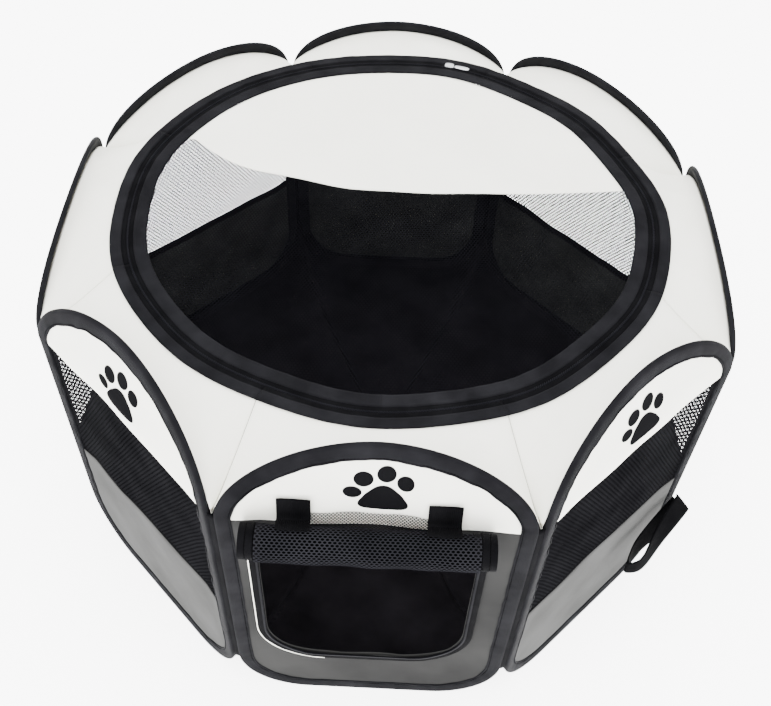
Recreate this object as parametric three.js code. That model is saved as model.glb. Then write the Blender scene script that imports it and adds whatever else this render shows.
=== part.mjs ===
// Eight-sided pop-up pet playpen: spring-wire hoops sewn into cloth panels, a zipped mesh top,
// a roll-up door and a carry handle. Millimetres, +Z up, origin on the ground under the middle.
// The door faces -Y. Panels are numbered anticlockwise from the door, as seen from above.
import * as THREE from 'three';

// ---- driving dimensions ----
const PANELS = 8;
const ACROSS_FLATS = 910;          // outer face of a hoop to the outer face opposite
const HOOP_TOP = 565;              // crown of each arch
const SPRING_LINE = 450;           // where the straight sides end and the arch starts
const ARCH_POWER = 1.75;           // 2 is an ellipse; less is leaner at the shoulders
const CROWN_LEAN = 30;             // the canopy draws the crown of each arch this far inwards
const BOTTOM_RADIUS = 95;          // rounded lower corners of a hoop
const RIM_THICKNESS = 8;           // binding tape around the wire, across the panel
const RIM_WIDTH = 20;              // binding tape, in the plane of the panel
const RIM_WALL = 1.9;
const CORNER_GAP = 4;              // from the corner of the octagon to the end of a hoop
const WIRE_RADIUS = 1.25;
const WIRE_INSET = 5.5;            // wire centre, in from the outside of the binding
const CLOTH = 1.2;                 // cloth, net and tape thickness
const CLOTH_INSET = 14;            // edge of the panel cloth inside the binding
const GAP = 0.3;                   // between pieces that touch

const BAND_TOP = 215;              // lower oxford band
const ARCH_CLOTH_BOTTOM = 445;     // pale cloth in the arch

const RING_OUTER = 376;            // zip tape round the top opening
const RING_COIL = 353;             // line of the zip coil
const RING_INNER = 328;
const RING_HEIGHT = 530;           // top face of the canopy at the zip
const RING_TAPE = 2.4;
const SHADE_EDGE = 52;             // front edge of the pale half of the cover, +Y side

const DOOR_MIDDLE = -8;
const DOOR_HALF_WIDTH = 130;
const DOOR_BOTTOM = 110;
const DOOR_TOP = 424;
const DOOR_CORNER = 75;
const DOOR_TAPE = 12;

const ROLL_RADIUS = 24;
const ROLL_CORE = 6;
const ROLL_TURNS = 3.25;
const ROLL_HALF_LENGTH = 143;
const ROLL_HEIGHT = 440;
const TIE_WIDTH = 38;
const TIE_TOP = 489;
const TIE_OFFSET = 84;             // each tie from the middle of the roll

const HANDLE_WIDTH = 28;
const HANDLE_HEIGHT = 158;         // middle of the webbing
const WEBBING = 2.5;

const ARCH_STEPS = 12;
const CORNER_STEPS = 4;
const RING_STEPS = 48;

// ---- sizes worked out from them ----
const turn = (2 * Math.PI) / PANELS;
const midPlane = (ACROSS_FLATS - RIM_THICKNESS) / 2;
const sideHalf = midPlane * Math.tan(turn / 2);
const hoopHalf = sideHalf - CORNER_GAP;
const clothFront = midPlane + CLOTH / 2;

// ---- materials ----
const finish = (color, roughness, metalness = 0) =>
  () => new THREE.MeshStandardMaterial({ color, roughness, metalness });
const creamCloth = finish(0xf0f0e8, 0.75);
const greyOxford = finish(0x777776, 0.8);
const blackTape = finish(0x28282c, 0.7);
const blackNet = finish(0x1d1d20, 0.85);
const blackWebbing = finish(0x121214, 0.8);
const floorCloth = finish(0x1c1b20, 0.85);
const springSteel = finish(0x8d9094, 0.35, 1);
const zincAlloy = finish(0xa8abb0, 0.3, 1);

const named = (name, geometry, material) => {
  const mesh = new THREE.Mesh(geometry, material());
  mesh.name = name;
  return mesh;
};

// ---- shaping helpers ----
// An outline in (across, height) made into a sheet that stands in a panel: across is X, height is Z,
// and the sheet's outward face is at y = -front.
const standing = (shape, thickness, front) => {
  const geometry = new THREE.ExtrudeGeometry(shape, { depth: thickness, bevelEnabled: false });
  geometry.rotateX(Math.PI / 2);
  geometry.translate(0, thickness - front, 0);
  return geometry;
};

// Splits a quad of an indexed geometry along its other diagonal: three.js writes it as a b d, b c d
// in a box and as a b d, c d b in a lathe.
const turnDiagonal = (index, first) => {
  const [a, b, d] = [0, 1, 2].map((i) => index.getX(first + i));
  const c = [3, 4, 5].map((i) => index.getX(first + i)).find((i) => i !== b && i !== d);
  [a, b, c, a, c, d].forEach((corner, i) => index.setX(first + i, corner));
};

// A thin sheet bent to any form: place(across 0..1, along 0..1, up 0 or 1) gives each corner.
// Its two faces are split along the same diagonals, so that they stay one thickness apart.
const bentSheet = (acrossSteps, alongSteps, place) => {
  const geometry = new THREE.BoxGeometry(1, 1, 1, acrossSteps, alongSteps, 1);
  const underside = geometry.groups[5];
  for (let i = 0; i < underside.count; i += 6) {
    turnDiagonal(geometry.index, underside.start + i);
  }
  const position = geometry.attributes.position;
  const at = new THREE.Vector3();
  for (let i = 0; i < position.count; i += 1) {
    at.fromBufferAttribute(position, i);
    const placed = place(at.x + 0.5, at.y + 0.5, at.z + 0.5);
    position.setXYZ(i, placed.x, placed.y, placed.z);
  }
  geometry.computeVertexNormals();
  return geometry;
};

// ---- the outline that every hoop shares ----
const archPoint = (angle, inset) => {
  const power = 2 / ARCH_POWER;
  const side = Math.sign(Math.cos(angle));
  return new THREE.Vector2(
    side * (hoopHalf - inset) * Math.abs(Math.cos(angle)) ** power,
    SPRING_LINE + (HOOP_TOP - SPRING_LINE - inset) * Math.abs(Math.sin(angle)) ** power,
  );
};

const archPoints = (inset) => Array.from(
  { length: ARCH_STEPS + 1 },
  (_, i) => archPoint((Math.PI * i) / ARCH_STEPS, inset),
);

const cornerPoints = (side, inset) => {
  const radius = BOTTOM_RADIUS - inset;
  const middle = side * (hoopHalf - BOTTOM_RADIUS);
  return Array.from({ length: CORNER_STEPS + 1 }, (_, i) => {
    const angle = (Math.PI / 2) * (i / CORNER_STEPS);
    return new THREE.Vector2(
      middle + side * radius * Math.sin(angle),
      BOTTOM_RADIUS - radius * Math.cos(angle),
    );
  });
};

const hoopPoints = (inset) => [
  ...cornerPoints(1, inset),
  ...archPoints(inset),
  ...cornerPoints(-1, inset).reverse(),
];

const lean = (height) => {
  const share = Math.max(0, height - SPRING_LINE) / (HOOP_TOP - SPRING_LINE);
  return CROWN_LEAN * share ** 1.5;
};

const leaning = (geometry) => {
  const position = geometry.attributes.position;
  for (let i = 0; i < position.count; i += 1) {
    position.setY(i, position.getY(i) + lean(position.getZ(i)));
  }
  geometry.computeVertexNormals();
  return geometry;
};

// ---- a hoop: the wire, and the binding tape folded round it with its slot facing inwards ----
// The U section is given as (inset, outward) corners and swept round the outline.
const bindingGeometry = () => {
  const face = RIM_THICKNESS / 2;
  const slot = face - RIM_WALL;
  const section = [
    [0, -face], [0, face], [RIM_WIDTH, face], [RIM_WIDTH, slot], [RIM_WALL, slot],
    [RIM_WALL, -slot], [RIM_WIDTH, -slot], [RIM_WIDTH, -face], [0, -face],
  ];
  const outlines = section.map(([inset]) => hoopPoints(inset));
  const around = outlines[0].length;
  const profile = section.map(([inset, outward]) => new THREE.Vector2(inset + 1, outward));
  const geometry = new THREE.LatheGeometry(profile, around);
  const position = geometry.attributes.position;
  for (let i = 0; i < position.count; i += 1) {
    const corner = i % section.length;
    const point = outlines[corner][Math.floor(i / section.length) % around];
    position.setXYZ(i, point.x, -midPlane - section[corner][1], point.y);
  }
  return leaning(geometry);
};

const wireGeometry = () => {
  const halfCut = 1;
  const around = hoopPoints(WIRE_INSET);
  const start = new THREE.Vector2(halfCut, WIRE_INSET);
  const end = new THREE.Vector2(-halfCut, WIRE_INSET);
  const route = new THREE.CurvePath();
  const stops = [start, ...around, end].map((p) => new THREE.Vector3(p.x, -midPlane, p.y));
  for (let i = 1; i < stops.length; i += 1) {
    route.add(new THREE.LineCurve3(stops[i - 1], stops[i]));
  }
  const section = new THREE.Shape().absarc(0, 0, WIRE_RADIUS, 0, 2 * Math.PI);
  return leaning(
    new THREE.ExtrudeGeometry(section, { steps: 56, curveSegments: 5, extrudePath: route }),
  );
};

// ---- cloth of one panel ----
const archCloth = () => {
  const half = hoopHalf - CLOTH_INSET;
  const shape = new THREE.Shape([
    new THREE.Vector2(half, ARCH_CLOTH_BOTTOM + GAP),
    ...archPoints(CLOTH_INSET),
    new THREE.Vector2(-half, ARCH_CLOTH_BOTTOM + GAP),
  ]);
  return leaning(standing(shape, CLOTH, clothFront));
};

const meshWindow = () => {
  const half = hoopHalf - CLOTH_INSET;
  const shape = new THREE.Shape([
    new THREE.Vector2(-half, BAND_TOP + GAP),
    new THREE.Vector2(half, BAND_TOP + GAP),
    new THREE.Vector2(half, ARCH_CLOTH_BOTTOM),
    new THREE.Vector2(-half, ARCH_CLOTH_BOTTOM),
  ]);
  return standing(shape, CLOTH, clothFront);
};

const bandShape = (top) => {
  const half = hoopHalf - CLOTH_INSET;
  return new THREE.Shape([
    ...cornerPoints(1, CLOTH_INSET),
    new THREE.Vector2(half, top),
    new THREE.Vector2(-half, top),
    ...cornerPoints(-1, CLOTH_INSET).reverse(),
  ]);
};

// A U that follows the door's cut edge, grown outwards by a margin.
const doorEdge = (margin) => {
  const radius = DOOR_CORNER + margin;
  const half = DOOR_HALF_WIDTH - DOOR_CORNER;
  const low = DOOR_BOTTOM + DOOR_CORNER;
  const corner = (side) => Array.from({ length: CORNER_STEPS + 1 }, (_, i) => {
    const angle = (Math.PI / 2) * (i / CORNER_STEPS);
    return new THREE.Vector2(
      DOOR_MIDDLE + side * (half + radius * Math.cos(angle)),
      low - radius * Math.sin(angle),
    );
  });
  return [
    new THREE.Vector2(DOOR_MIDDLE + DOOR_HALF_WIDTH + margin, DOOR_TOP),
    ...corner(1),
    ...corner(-1).reverse(),
    new THREE.Vector2(DOOR_MIDDLE - DOOR_HALF_WIDTH - margin, DOOR_TOP),
  ];
};

const doorSurround = () => {
  const shape = bandShape(ARCH_CLOTH_BOTTOM);
  shape.holes.push(new THREE.Path(doorEdge(0)));
  return standing(shape, CLOTH, clothFront);
};

const doorZipTape = () => {
  const shape = new THREE.Shape([...doorEdge(DOOR_TAPE), ...doorEdge(0).reverse()]);
  return standing(shape, CLOTH, clothFront + GAP + CLOTH);
};

// ---- canopy: one gore from each arch to the zip round the top opening ----
// Its side seams lie in planes beside the ones through the corners of the octagon.
const goreGeometry = () => {
  const clearance = 0.4;
  const archInset = RIM_WIDTH - 4;
  const inside = midPlane - RIM_THICKNESS / 2 - 2 * GAP;
  const archHalf = hoopHalf - archInset;
  const reach = RING_OUTER + GAP;
  const ringHalf = turn / 2 - Math.asin(clearance / reach);
  return bentSheet(12, 3, (across, along, up) => {
    const drop = CLOTH * (1 - up);
    const arch = archPoint(Math.PI * (1 - across), archInset);
    const seam = (inside - drop) * Math.tan(turn / 2) - clearance / Math.cos(turn / 2);
    const cornerward = (arch.x / archHalf) ** 6;
    const spread = 1 + (seam / archHalf - 1) * cornerward;
    const from = new THREE.Vector3(arch.x * spread, lean(arch.y) + drop - inside, arch.y - drop);
    const bearing = (2 * across - 1) * ringHalf;
    const to = new THREE.Vector3(
      reach * Math.sin(bearing),
      -reach * Math.cos(bearing),
      RING_HEIGHT - drop,
    );
    return from.lerp(to, along);
  });
};

// ---- floor: flat, and drawn up into each corner where two hoops round away from the ground ----
const floorGeometry = () => {
  const inside = midPlane - RIM_THICKNESS / 2 - GAP;
  const flatPart = 0.72;
  const segments = 128;
  const rings = [0, flatPart, 0.79, 0.86, 0.93, 1];
  const profile = [
    ...rings.map((ring) => new THREE.Vector2(ring, 0)),
    ...rings.toReversed().map((ring) => new THREE.Vector2(ring, 1)),
  ];
  const geometry = new THREE.LatheGeometry(profile, segments);
  const bands = profile.length - 1;
  for (let i = 0; i < segments * bands; i += 1) {
    const onTop = i % bands >= rings.length;
    const touchesMiddle = i % bands === bands - 1;
    if (onTop && !touchesMiddle) turnDiagonal(geometry.index, 6 * i);
  }
  geometry.rotateX(Math.PI / 2);
  const position = geometry.attributes.position;
  for (let i = 0; i < position.count; i += 1) {
    const x = position.getX(i);
    const y = position.getY(i);
    const top = position.getZ(i);
    const share = Math.hypot(x, y);
    const bearing = Math.atan2(x, -y);
    const offset = bearing - turn * Math.round(bearing / turn);
    const reach = (inside * share) / Math.cos(offset);
    const across = Math.abs(inside * Math.tan(offset));
    const past = Math.max(0, across - (hoopHalf - BOTTOM_RADIUS)) / BOTTOM_RADIUS;
    const rise = BOTTOM_RADIUS * (1 - Math.sqrt(1 - Math.min(1, past) ** 2)) * 0.85;
    const edge = Math.max(0, (share - flatPart) / (1 - flatPart));
    position.setXYZ(
      i,
      reach * Math.sin(bearing),
      -reach * Math.cos(bearing),
      rise * edge + CLOTH * top,
    );
  }
  return geometry;
};

// ---- zip tapes and the zipped cover of the top opening ----
const flatRing = (inner, outer, low, high) => {
  const profile = [
    new THREE.Vector2(inner, low),
    new THREE.Vector2(outer, low),
    new THREE.Vector2(outer, high),
    new THREE.Vector2(inner, high),
    new THREE.Vector2(inner, low),
  ];
  const geometry = new THREE.LatheGeometry(profile, RING_STEPS);
  geometry.rotateX(Math.PI / 2);
  return geometry;
};

const coverPart = (front) => {
  const radius = RING_INNER * Math.cos(Math.PI / RING_STEPS) - GAP;
  const edge = front ? SHADE_EDGE - GAP / 2 : SHADE_EDGE + GAP / 2;
  const from = Math.asin(edge / radius);
  const shape = new THREE.Shape();
  if (front) shape.absarc(0, 0, radius, Math.PI - from, 2 * Math.PI + from);
  else shape.absarc(0, 0, radius, from, Math.PI - from);
  const geometry = new THREE.ExtrudeGeometry(shape, {
    depth: CLOTH,
    bevelEnabled: false,
    curveSegments: RING_STEPS / 2,
  });
  geometry.translate(0, 0, RING_HEIGHT - CLOTH);
  return geometry;
};

// ---- zip sliders: a body with a nose, and a flat pull with a hole ----
const sliderGeometry = (length, width, height) => {
  const shape = new THREE.Shape();
  shape.moveTo(-length / 2, -width / 3);
  shape.lineTo(0, -width / 2);
  shape.lineTo(length / 2, -width / 4);
  shape.lineTo(length / 2, width / 4);
  shape.lineTo(0, width / 2);
  shape.lineTo(-length / 2, width / 3);
  return new THREE.ExtrudeGeometry(shape, { depth: height, bevelEnabled: false });
};

const pullGeometry = (length, width, thickness) => {
  const shape = new THREE.Shape();
  const end = length - width / 2;
  shape.moveTo(0, -width / 4);
  shape.lineTo(end, -width / 2);
  shape.absarc(end, 0, width / 2, -Math.PI / 2, Math.PI / 2);
  shape.lineTo(0, width / 4);
  const hole = new THREE.Path();
  hole.absarc(end, 0, width / 5, 0, 2 * Math.PI);
  shape.holes.push(hole);
  return new THREE.ExtrudeGeometry(shape, {
    depth: thickness,
    bevelEnabled: false,
    curveSegments: 6,
  });
};

// ---- door rolled up under the arch, and the ties that hold it ----
const rollMiddle = clothFront + GAP + 1.2 + ROLL_RADIUS;

// A profile in (outward, height) made into a length along X, centred on the roll.
const alongDoor = (shape, length, middle) => {
  const geometry = new THREE.ExtrudeGeometry(shape, { depth: length, bevelEnabled: false });
  geometry.rotateX(Math.PI / 2);
  geometry.rotateZ(-Math.PI / 2);
  geometry.translate(middle + length / 2, 0, 0);
  return geometry;
};

const rollGeometry = () => {
  const steps = Math.round(ROLL_TURNS * 14);
  const thickness = 2.6;
  const rim = [];
  const core = [];
  for (let i = 0; i <= steps; i += 1) {
    const share = i / steps;
    const angle = 2 * Math.PI * ROLL_TURNS * (share - 1) + Math.PI;
    const outer = ROLL_CORE + (ROLL_RADIUS - ROLL_CORE) * share;
    const direction = new THREE.Vector2(Math.cos(angle), Math.sin(angle));
    const middle = new THREE.Vector2(rollMiddle, ROLL_HEIGHT);
    rim.push(direction.clone().multiplyScalar(outer).add(middle));
    core.push(direction.clone().multiplyScalar(outer - thickness).add(middle));
  }
  return alongDoor(
    new THREE.Shape([...rim, ...core.reverse()]),
    2 * ROLL_HALF_LENGTH,
    DOOR_MIDDLE,
  );
};

const tieGeometry = (middle) => {
  const thickness = 2;
  const back = clothFront + 2 * GAP;
  const bend = ROLL_RADIUS + 1.2;
  const over = [];
  const under = [];
  const steps = 5;
  const first = Math.PI * 0.84;
  const last = Math.PI * 0.54;
  for (let i = 0; i <= steps; i += 1) {
    const angle = first + (last - first) * (i / steps);
    const direction = new THREE.Vector2(Math.cos(angle), Math.sin(angle));
    const centre = new THREE.Vector2(rollMiddle, ROLL_HEIGHT);
    over.push(direction.clone().multiplyScalar(bend + thickness).add(centre));
    under.push(direction.clone().multiplyScalar(bend).add(centre));
  }
  const shape = new THREE.Shape([
    new THREE.Vector2(back, TIE_TOP),
    new THREE.Vector2(back + thickness, TIE_TOP),
    ...over.filter((p) => p.x > back + thickness),
    ...under.filter((p) => p.x > back + thickness).reverse(),
    new THREE.Vector2(back, ROLL_HEIGHT + 0.6 * ROLL_RADIUS),
  ]);
  return leaning(alongDoor(shape, TIE_WIDTH, middle));
};

// ---- carry handle: a loop of webbing lying along a panel, both ends sewn beside the corner ----
const handleGeometry = () => {
  const front = midPlane + RIM_THICKNESS / 2;
  const sewn = sideHalf - 12;
  const inner = new THREE.CatmullRomCurve3([
    new THREE.Vector3(sewn, -(front + 3), 0),
    new THREE.Vector3(sewn - 50, -(front + 6), -3),
    new THREE.Vector3(sewn - 105, -(front + 10), -14),
    new THREE.Vector3(sewn - 132, -(front + 22), -24),
    new THREE.Vector3(sewn - 112, -(front + 36), -20),
    new THREE.Vector3(sewn - 70, -(front + 32), -8),
    new THREE.Vector3(sewn - 20, -(front + 28), 0),
    new THREE.Vector3(sewn - 2, -(front + 16), 0),
    new THREE.Vector3(sewn + 1, -(front + 8), 0),
  ]);
  const steps = 28;
  return bentSheet(1, steps, (across, along, up) => {
    const point = inner.getPoint(along);
    const ahead = inner.getTangent(along);
    const outward = new THREE.Vector3(ahead.y, -ahead.x, 0).normalize();
    point.addScaledVector(outward, (up - 0.5) * WEBBING);
    point.z += HANDLE_HEIGHT + (0.5 - across) * HANDLE_WIDTH;
    return point;
  });
};

// ---- assembly ----
const SIDE_NAMES = [
  'front', 'front_right', 'right', 'back_right', 'back', 'back_left', 'left', 'front_left',
];

const playpen = new THREE.Group();

SIDE_NAMES.forEach((side, index) => {
  const panel = new THREE.Group();
  panel.rotation.z = index * turn;
  panel.add(named(`${side}_hoop_wire`, wireGeometry(), springSteel));
  panel.add(named(`${side}_hoop_binding`, bindingGeometry(), blackTape));
  panel.add(named(`${side}_arch_cloth`, archCloth(), creamCloth));
  panel.add(named(`${side}_canopy_gore`, goreGeometry(), creamCloth));
  if (index === 0) {
    panel.add(named('door_surround', doorSurround(), greyOxford));
  } else {
    panel.add(named(`${side}_mesh_window`, meshWindow(), blackNet));
    panel.add(named(`${side}_lower_band`, standing(bandShape(BAND_TOP), CLOTH, clothFront), greyOxford));
  }
  if (index === 1) {
    panel.add(named('carry_handle', handleGeometry(), blackWebbing));
  }
  playpen.add(panel);
});

playpen.add(named('floor_sheet', floorGeometry(), floorCloth));

const tapeLow = RING_HEIGHT - CLOTH;
const tapeHigh = tapeLow + RING_TAPE;
playpen.add(named('canopy_zip_tape', flatRing(RING_COIL + GAP, RING_OUTER, tapeLow, tapeHigh), blackTape));
playpen.add(named('cover_zip_tape', flatRing(RING_INNER, RING_COIL - GAP, tapeLow, tapeHigh), blackTape));
playpen.add(named('cover_net', coverPart(true), blackNet));
playpen.add(named('cover_shade', coverPart(false), creamCloth));

// The top slider rides the zip a little to the right of the back; its pull trails to the right.
const SLIDER_BEARING = (13 * Math.PI) / 180;
const topZip = new THREE.Group();
topZip.rotation.z = -SLIDER_BEARING;
const slider = named('top_zip_slider', sliderGeometry(14, 11, 4), zincAlloy);
slider.position.set(0, RING_COIL + 6.5, tapeHigh + GAP);
const pull = named('top_zip_pull', pullGeometry(24, 8, 1.4), zincAlloy);
pull.position.set(8, RING_COIL + 6.5, tapeHigh + GAP + 1);
topZip.add(slider, pull);
playpen.add(topZip);

playpen.add(named('door_zip_tape', doorZipTape(), blackTape));
playpen.add(named('door_roll', rollGeometry(), blackNet));
playpen.add(named('door_tie_left', tieGeometry(DOOR_MIDDLE - TIE_OFFSET), blackWebbing));
playpen.add(named('door_tie_right', tieGeometry(DOOR_MIDDLE + TIE_OFFSET), blackWebbing));

// The door slider is parked near the top of the zip's left side, nose down.
const doorSlider = named('door_zip_slider', sliderGeometry(14, 9, 4), zincAlloy);
doorSlider.rotation.set(Math.PI / 2, 0, -Math.PI / 2);
doorSlider.position.set(
  DOOR_MIDDLE - DOOR_HALF_WIDTH - DOOR_TAPE / 2,
  -(clothFront + 2 * GAP + CLOTH),
  DOOR_TOP - 40,
);
playpen.add(doorSlider);

export default playpen;
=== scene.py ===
import math

import bpy
import numpy as np
from mathutils import Matrix, Vector


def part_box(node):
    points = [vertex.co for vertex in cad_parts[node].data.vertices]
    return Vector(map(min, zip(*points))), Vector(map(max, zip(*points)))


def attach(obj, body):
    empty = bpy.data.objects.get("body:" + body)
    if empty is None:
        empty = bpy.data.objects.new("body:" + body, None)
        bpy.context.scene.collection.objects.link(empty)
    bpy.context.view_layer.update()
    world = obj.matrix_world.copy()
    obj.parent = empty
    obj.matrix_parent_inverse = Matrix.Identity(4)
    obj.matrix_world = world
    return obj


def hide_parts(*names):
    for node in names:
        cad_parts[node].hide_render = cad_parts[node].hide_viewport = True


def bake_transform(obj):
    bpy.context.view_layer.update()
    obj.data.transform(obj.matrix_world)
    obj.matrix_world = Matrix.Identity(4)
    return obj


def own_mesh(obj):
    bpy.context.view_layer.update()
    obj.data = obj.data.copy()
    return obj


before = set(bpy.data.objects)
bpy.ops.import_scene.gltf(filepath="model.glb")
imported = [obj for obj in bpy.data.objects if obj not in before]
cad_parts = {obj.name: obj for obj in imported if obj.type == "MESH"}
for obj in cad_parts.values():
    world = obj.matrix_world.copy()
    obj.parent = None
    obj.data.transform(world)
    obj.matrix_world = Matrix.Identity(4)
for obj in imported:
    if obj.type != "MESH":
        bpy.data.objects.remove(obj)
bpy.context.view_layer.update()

SIDES = ("front", "front_right", "right", "back_right", "back", "back_left", "left", "front_left")
TURN = 2 * math.pi / len(SIDES)
MM = 0.001

# ---- sizes taken from the frame ----
hoop_low, hoop_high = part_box("front_hoop_binding")
ring_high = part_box("canopy_zip_tape")[1]
door_low, door_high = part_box("door_zip_tape")
roll_low, roll_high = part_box("door_roll")
# A panel: its hoop stands PLANE out from the pen's axis and leans in by CROWN_LEAN at its crown.
PLANE = sum(corner.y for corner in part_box("back_lower_band")) / 2
RIM = 2 * (-hoop_low.y - PLANE)
CROWN_LEAN = hoop_high.y - hoop_low.y - RIM
HALF = hoop_high.x
TOP = hoop_high.z
CREAM_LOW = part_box("front_arch_cloth")[0].z
SPRING = CREAM_LOW + 5 * MM
BAND_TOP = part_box("right_lower_band")[1].z
# The ring of zip between the canopy and the cover.
RING_OUTER = ring_high.x
RING_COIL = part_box("cover_zip_tape")[1].x
RING_INNER = RING_COIL - 25 * MM
RING_Z = ring_high.z
# The rolled door.
ROLL_RADIUS = (roll_high.y - roll_low.y) / 2
ROLL_Z = (roll_low.z + roll_high.z) / 2
ROLL_OUT = -(roll_low.y + roll_high.y) / 2

# ---- sizes that the frame's boxes don't give ----
ARCH_POWER = 1.85
BOTTOM_RADIUS = 95 * MM
BINDING_WIDTH = 20 * MM
CLOTH_INSET = 13 * MM
CREAM_THICKNESS = 0.8 * MM
OXFORD_THICKNESS = 1.0 * MM
WEBBING_WIDTH = 28 * MM


# ---- small tools ----
def place(side, across, outward, height):
    """Points of a panel, as arrays of its three measures, put where that panel stands."""
    turned = side * TURN
    x = across * math.cos(turned) + outward * math.sin(turned)
    y = across * math.sin(turned) - outward * math.cos(turned)
    return np.stack(np.broadcast_arrays(x, y, height), axis=-1).astype(float)


def distances(line):
    """How far along a line of points each of them is."""
    return np.concatenate([[0], np.cumsum(np.linalg.norm(np.diff(line, axis=0), axis=1))])


def sideways(line):
    """The direction to the left of a flat line at each of its points."""
    ahead = np.gradient(line, axis=0)
    ahead /= np.linalg.norm(ahead, axis=1)[:, None]
    return np.stack([-ahead[:, 1], ahead[:, 0]], axis=1)


def smoothed(line, times):
    """A line of points with its corners eased and its ends kept."""
    eased = line.copy()
    for _ in range(times):
        eased[1:-1] = (eased[:-2] + 2 * eased[1:-1] + eased[2:]) / 4
    return eased


def pairs(first, second):
    """Two arrays of measures joined into one of (first, second), as a grid's UVs."""
    return np.stack(np.broadcast_arrays(first, second), axis=-1)


def ripples(a, b, wavelength, seed, waves=7):
    """A smooth uneven surface between about -1 and 1, the same each time for a seed."""
    random = np.random.default_rng(seed)
    total = np.zeros(np.broadcast(a, b).shape)
    for _ in range(waves):
        heading = random.uniform(0, 2 * math.pi)
        pitch = wavelength * random.uniform(0.6, 1.6)
        phase = random.uniform(0, 2 * math.pi)
        total += np.sin(2 * math.pi * (a * math.cos(heading) + b * math.sin(heading)) / pitch + phase)
    return total / math.sqrt(waves * 2)


def folds(a, b, wavelength, heading, seed):
    """Sharp-crested creases that mostly run one way."""
    along = a * math.cos(heading) + b * math.sin(heading)
    wander = 0.35 * wavelength * ripples(a, b, 3 * wavelength, seed)
    return 1 - 2 * np.abs(np.sin(math.pi * (along + wander) / wavelength))


def make_mesh(name, points, faces, uvs, slots, materials, smooth=True):
    """A mesh object with one UV layer in metres; uvs follow the points."""
    mesh = bpy.data.meshes.new(name)
    mesh.from_pydata([tuple(p) for p in points], [], [tuple(f) for f in faces])
    layer = mesh.uv_layers.new(name="metres")
    corners = np.zeros(len(mesh.loops), np.int32)
    mesh.loops.foreach_get("vertex_index", corners)
    layer.data.foreach_set("uv", np.asarray(uvs, float)[corners].astype(np.float32).ravel())
    for material in materials:
        mesh.materials.append(material)
    mesh.polygons.foreach_set("material_index", np.asarray(slots, np.int32))
    mesh.polygons.foreach_set("use_smooth", np.full(len(faces), smooth))
    mesh.update()
    made = bpy.data.objects.new(name, mesh)
    bpy.context.scene.collection.objects.link(made)
    return made


def grid_faces(rows, columns, first=0, flip=False, wrap_rows=False, wrap_columns=False):
    """The quads of a grid of points numbered row by row."""
    row, column = np.meshgrid(
        np.arange(rows if wrap_rows else rows - 1),
        np.arange(columns if wrap_columns else columns - 1),
        indexing="ij",
    )
    ahead, beside = (row + 1) % rows, (column + 1) % columns
    quads = np.stack(
        [
            row * columns + column, row * columns + beside,
            ahead * columns + beside, ahead * columns + column,
        ],
        axis=-1,
    ).reshape(-1, 4)
    return (quads[:, ::-1] if flip else quads) + first


def single_sheet(name, points, uvs, material):
    """One layer of cloth or net over a grid of points."""
    rows, columns = points.shape[:2]
    faces = grid_faces(rows, columns)
    slots = np.zeros(len(faces))
    return make_mesh(name, points.reshape(-1, 3), faces, uvs.reshape(-1, 2), slots, [material])


def double_sheet(name, outside, inside, uvs, outer, inner, closed=False):
    """Cloth with a face and a back: two grids of points joined round their edges."""
    rows, columns = outside.shape[:2]
    count = rows * columns
    front = grid_faces(rows, columns, wrap_rows=closed)
    back = grid_faces(rows, columns, count, flip=True, wrap_rows=closed)
    numbers = np.arange(count).reshape(rows, columns)
    edges = [numbers[:, 0][::-1], numbers[:, -1]]
    if not closed:
        edges += [numbers[0], numbers[-1][::-1]]
    rims = []
    for edge in edges:
        following = np.roll(edge, -1)
        last = len(edge) if closed else len(edge) - 1
        for a, b in zip(edge[:last], following[:last]):
            rims.append((b, a, a + count, b + count))
    faces = np.vstack([front, back, np.array(rims)])
    slots = np.concatenate([np.zeros(len(front)), np.ones(len(back)), np.zeros(len(rims))])
    points = np.vstack([outside.reshape(-1, 3), inside.reshape(-1, 3)])
    flat = uvs.reshape(-1, 2)
    return make_mesh(name, points, faces, np.vstack([flat, flat]), slots, [outer, inner])


def panel_cloth(name, side, across, depth, height, thickness, outer, inner, closed=False):
    """Cloth on a panel, about a depth, with a face and a back; a thickness below zero turns it over."""
    outside = place(side, across, depth + thickness / 2, height)
    inside = place(side, across, depth - thickness / 2, height)
    return double_sheet(name, outside, inside, pairs(across, height), outer, inner, closed)


def swept(name, points, uvs, material, closed=True):
    """A solid strip: each row of points is a closed loop round it. An open strip's ends are filled."""
    rows, columns = points.shape[:2]
    faces = [tuple(f) for f in grid_faces(rows, columns, wrap_rows=closed, wrap_columns=True)]
    if not closed:
        faces.append(tuple(range(columns))[::-1])
        faces.append(tuple(range((rows - 1) * columns, rows * columns)))
    slots = np.zeros(len(faces))
    return make_mesh(name, points.reshape(-1, 3), faces, uvs.reshape(-1, 2), slots, [material])


def rides(obj, body, slot_name, *stands_for):
    """Fixes a finished piece to its body and hides the CAD nodes it stands for; slot_name is not used."""
    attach(obj, body)
    if stands_for:
        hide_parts(*stands_for)
    return obj


def gathers(obj, side):
    """Works out the outward direction of the cloth's own panel, and gives the cloth a mesh of its own."""
    normal = place(side, 0.0, 1.0, 0.0)
    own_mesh(obj)


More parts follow.
